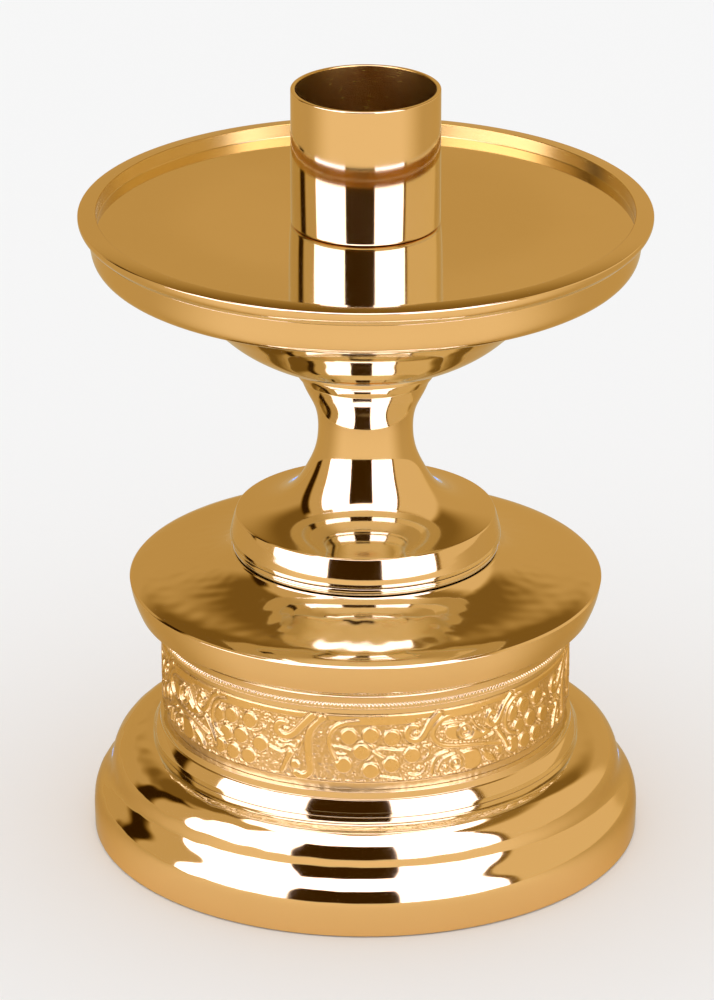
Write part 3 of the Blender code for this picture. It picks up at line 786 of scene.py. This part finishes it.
def felt_pad():
    """A disc of felt: soft rounded edge, and a matted surface that stays inside its flat faces."""
    columns, bend, middle = 360, 0.6, FELT_TOP / 2
    edge = arc((FELT_RADIUS - bend, middle), bend, 90, -90, FINE_STEP)
    edge = [(r, middle + (h - middle) * middle / bend) for r, h in edge]
    across = np.linspace(2.0, FELT_RADIUS - 1.4, 60)
    section = np.array([*[(r, FELT_TOP) for r in across], *edge, *[(r, 0.0) for r in across[::-1]]])
    angles = np.arange(columns) * math.tau / columns
    fuzz = smoothed(np.random.default_rng(5).normal(size=(len(section), columns)), 1)
    fuzz = FELT_NAP * np.clip(0.5 + 0.25 * fuzz, 0.0, 1.0)
    inward = np.where(section[:, 1] > middle, -1.0, 1.0)[:, None]
    radius = section[:, :1] - fuzz * (section[:, :1] > FELT_RADIUS - 1.0)
    height = np.clip(section[:, 1:] + inward * fuzz, 0.0, FELT_TOP)
    verts = np.stack([radius * np.cos(angles), radius * np.sin(angles), height], -1)
    obj = grid_object("felt_pad_wool", verts, False, FELT, ((0, FELT_TOP), (-1, 0.0)))
    place(obj, "felt", "felt_pad")


def inner_parts():
    """The CAD pieces that stay: they get the finish of what they are made of."""
    finishes = {"base_weight": IRON, "bottom_disc": ZINC, "drum_spacer": ZINC, "cup_spacer": ZINC,
                "pan_spacer": ZINC, "bottom_washer": ZINC, "lock_washer": ZINC, "bottom_nut": ZINC}
    for name, finish in finishes.items():
        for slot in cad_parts[name].material_slots:
            slot.material = finish


base_shell()
frieze_foot_ring()
frieze_band()
beaded_collar()
cover_plate()
stem_foot_ring()
stem()
stem_collar()
pan_cup()
pan_shell()
drip_pan()
candle_socket()
socket_washer()
nut("socket_nut")
tie_rod()
felt_pad()
inner_parts()


# ---------------------------------------------------------------- stage
FLOOR_HALF = 4.0       # metres
FLOOR_TONES = ((0.925, 0.925, 0.925), (0.935, 0.935, 0.935))
SOFT_LIGHT = 1.0       # even radiance of the world for everything but the brass's mirror
PALE = 0.93            # radiance of the floor; the brass is browner under dimmer light, whiter under brighter
WARM_DARKS = (0.2, 0.95)   # powers of the tone, relative to PALE, that set green and blue
HUE_GAIN, GAIN_REACH = (1.70, 4.5), 3.0   # green and blue given back at each repeated reflection, up to this
                                          # many, so that brass seen in brass doesn't turn orange
FLOOR_DIMS = (50.0, 100.0, 0.62)   # azimuths between which the floor, as the brass mirrors it, is painted darker, down to this share: painted shade
LAMP_LIMIT, DEEP_LIMIT = 2.9, 0.9  # most that a lamp gives in a first or second, and in a later reflection
ROOM_RADIANCE = 0.62
# (azimuth span, elevation span, softness, radiance), painted over each other in this order
STUDIO_PANELS = [
    ((-200, -118), (-90, 28), 16.0, 0.56),    # back wall on the left
    ((-200, -118), (30, 90), 14.0, 0.20),     # darker above it
    ((62, 136), (-90, 50), 8.0, 0.80),        # right wall
    ((62, 150), (50, 90), 10.0, 0.28),        # darker above it
    ((136, 200), (-90, 32), 14.0, 0.60),      # back wall on the right
    ((136, 200), (30, 90), 14.0, 0.22),       # darker above it
    ((-104, -60), (-90, 62), 10.0, 0.62),     # left wall
    ((-200, 200), (64, 80), 6.0, 9.0),        # overhead light, all round
    ((-64, 62), (42, 80), 4.0, 9.0),          # overhead light, lower at the front
    ((-122, -108), (-90, 44), 6.0, 0.03),     # black flag at the left
    ((-34, 18), (-90, 43), 4.0, 0.04),        # dark gap behind the camera
    ((-82, -33), (0, 44), 4.0, 28.0),         # left softbox
    ((15, 60), (0, 44), 3.0, 28.0),           # right softbox
    ((60, 65), (-90, 48), 3.0, 0.22),         # its dark edge
]

CAMERA_AT = (0.0, -1.524, 0.7347)
CAMERA_DOWN, CAMERA_TURN = math.radians(22.72), -0.00155
CAMERA_LENS, CAMERA_SENSOR, CAMERA_FAR = 215.5, 36.0, 50.0
def kept_hue(node, calc, fade=(1.0, 1.0)):
    """Tint for whatever the brass mirrors, by how many times it has been mirrored already."""
    depth = node("ShaderNodeLightPath").outputs["Glossy Depth"]
    again = calc("MAXIMUM", calc("SUBTRACT", calc("MINIMUM", depth, GAIN_REACH), 1.0), 0.0)
    green, blue = [calc("MULTIPLY", calc("POWER", gain, again), factor)
                   for gain, factor in zip(HUE_GAIN, fade)]
    return node("ShaderNodeCombineColor", {0: 1.0, 1: green, 2: blue}).outputs[0]


def floor():
    """A wide floor of plain pale paper, which the brass mirrors with painted shade towards its sides and
    back.
    """
    corners = [(FLOOR_HALF * x, FLOOR_HALF * y, 0.0) for x, y in ((-1, -1), (1, -1), (1, 1), (-1, 1))]
    mesh = bpy.data.meshes.new("floor")
    mesh.from_pydata(corners, [], [(0, 1, 2, 3)])
    material, tree, shader = new_material("floor_paper")
    node, calc = node_tools(tree)
    grain = node("ShaderNodeTexNoise", {"Scale": 3.0}).outputs[0]
    paper = blend_colour(node, grain, *FLOOR_TONES)
    x, y, _ = node("ShaderNodeSeparateXYZ", {0: node("ShaderNodeTexCoord").outputs["Object"]}).outputs
    azimuth = calc("ABSOLUTE", calc("ARCTAN2", x, calc("MULTIPLY", y, -1.0)))
    # painted shade: seen in the brass, the floor grows darker away from the camera's side
    start, end, share = FLOOR_DIMS
    aside = node("ShaderNodeMapRange", {"Value": azimuth, "From Min": math.radians(start), "To Min": 1.0,
                                        "From Max": math.radians(end), "To Max": share},
                 interpolation_type="SMOOTHSTEP").outputs[0]
    mirrored = calc("GREATER_THAN", node("ShaderNodeLightPath").outputs["Glossy Depth"], 0.5)
    dimmed = calc("ADD", 1.0, calc("MULTIPLY", mirrored, calc("SUBTRACT", aside, 1.0)))
    tint = kept_hue(node, calc, [calc("POWER", dimmed, power) for power in WARM_DARKS])
    seen = node("ShaderNodeVectorMath", {0: paper, 1: tint}, operation="MULTIPLY")
    seen = node("ShaderNodeVectorMath", {0: seen.outputs[0], "Scale": dimmed}, operation="SCALE")
    tree.links.new(seen.outputs[0], shader.inputs["Base Color"])
    shader.inputs["Roughness"].default_value = 1.0
    shader.inputs["Specular IOR Level"].default_value = 0.0
    mesh.materials.append(material)
    obj = bpy.data.objects.new("floor", mesh)
    bpy.context.scene.collection.objects.link(obj)


def studio():
    """Even light on the floor, and the room that the brass mirrors.

    Azimuth 0 is the camera's side, and + is to its right.
    """
    world = bpy.data.worlds.new("studio")
    bpy.context.scene.world = world
    world.use_nodes = True
    world.cycles.sampling_method = "NONE"
    tree = world.node_tree
    node, calc = node_tools(tree)
    x, y, z = node("ShaderNodeSeparateXYZ", {0: node("ShaderNodeTexCoord").outputs["Generated"]}).outputs
    azimuth = calc("DEGREES", calc("ARCTAN2", x, calc("MULTIPLY", y, -1.0)))
    elevation = calc("DEGREES", calc("ARCSINE", z))

    def step(value, at, soft):
        edges = {"Value": value, "From Min": at - soft / 2, "From Max": at + soft / 2}
        return node("ShaderNodeMapRange", edges, interpolation_type="SMOOTHSTEP").outputs[0]

    def between(value, low, high, soft):
        return calc("MULTIPLY", step(value, low, soft), calc("SUBTRACT", 1.0, step(value, high, soft)))

    def mixed(mask, inside, outside):
        rest = calc("SUBTRACT", 1.0, mask)
        return calc("ADD", calc("MULTIPLY", mask, inside), calc("MULTIPLY", rest, outside))

    light = ROOM_RADIANCE
    for azimuths, elevations, soft, radiance in STUDIO_PANELS:
        mask = calc("MULTIPLY", between(azimuth, *azimuths, soft), between(elevation, *elevations, soft))
        light = mixed(mask, radiance, light)
    path = node("ShaderNodeLightPath").outputs
    deep = calc("GREATER_THAN", path["Glossy Depth"], 2.5)
    light = calc("MINIMUM", light, mixed(deep, DEEP_LIMIT, LAMP_LIMIT))
    tone = calc("DIVIDE", light, PALE)
    tint = kept_hue(node, calc, [calc("POWER", tone, power) for power in WARM_DARKS])
    mirrored = calc("MULTIPLY", path["Is Glossy Ray"], calc("LESS_THAN", path["Diffuse Depth"], 0.5))
    background = tree.nodes["Background"]
    tree.links.new(mixed(mirrored, light, SOFT_LIGHT), background.inputs["Strength"])
    tree.links.new(blend_colour(node, mirrored, (1.0, 1.0, 1.0), tint), background.inputs["Color"])


def camera():
    """A long lens, looking a little down."""
    data = bpy.data.cameras.new("camera")
    data.lens = CAMERA_LENS
    data.sensor_width = CAMERA_SENSOR
    data.clip_end = CAMERA_FAR
    obj = bpy.data.objects.new("camera", data)
    bpy.context.scene.collection.objects.link(obj)
    obj.location = CAMERA_AT
    level = math.cos(CAMERA_DOWN)
    forward = Vector((math.sin(CAMERA_TURN) * level, math.cos(CAMERA_TURN) * level, -math.sin(CAMERA_DOWN)))
    obj.rotation_euler = forward.to_track_quat("-Z", "Y").to_euler()
    bpy.context.scene.camera = obj


floor()
studio()
camera()
bpy.context.scene.view_settings.view_transform = "Standard"
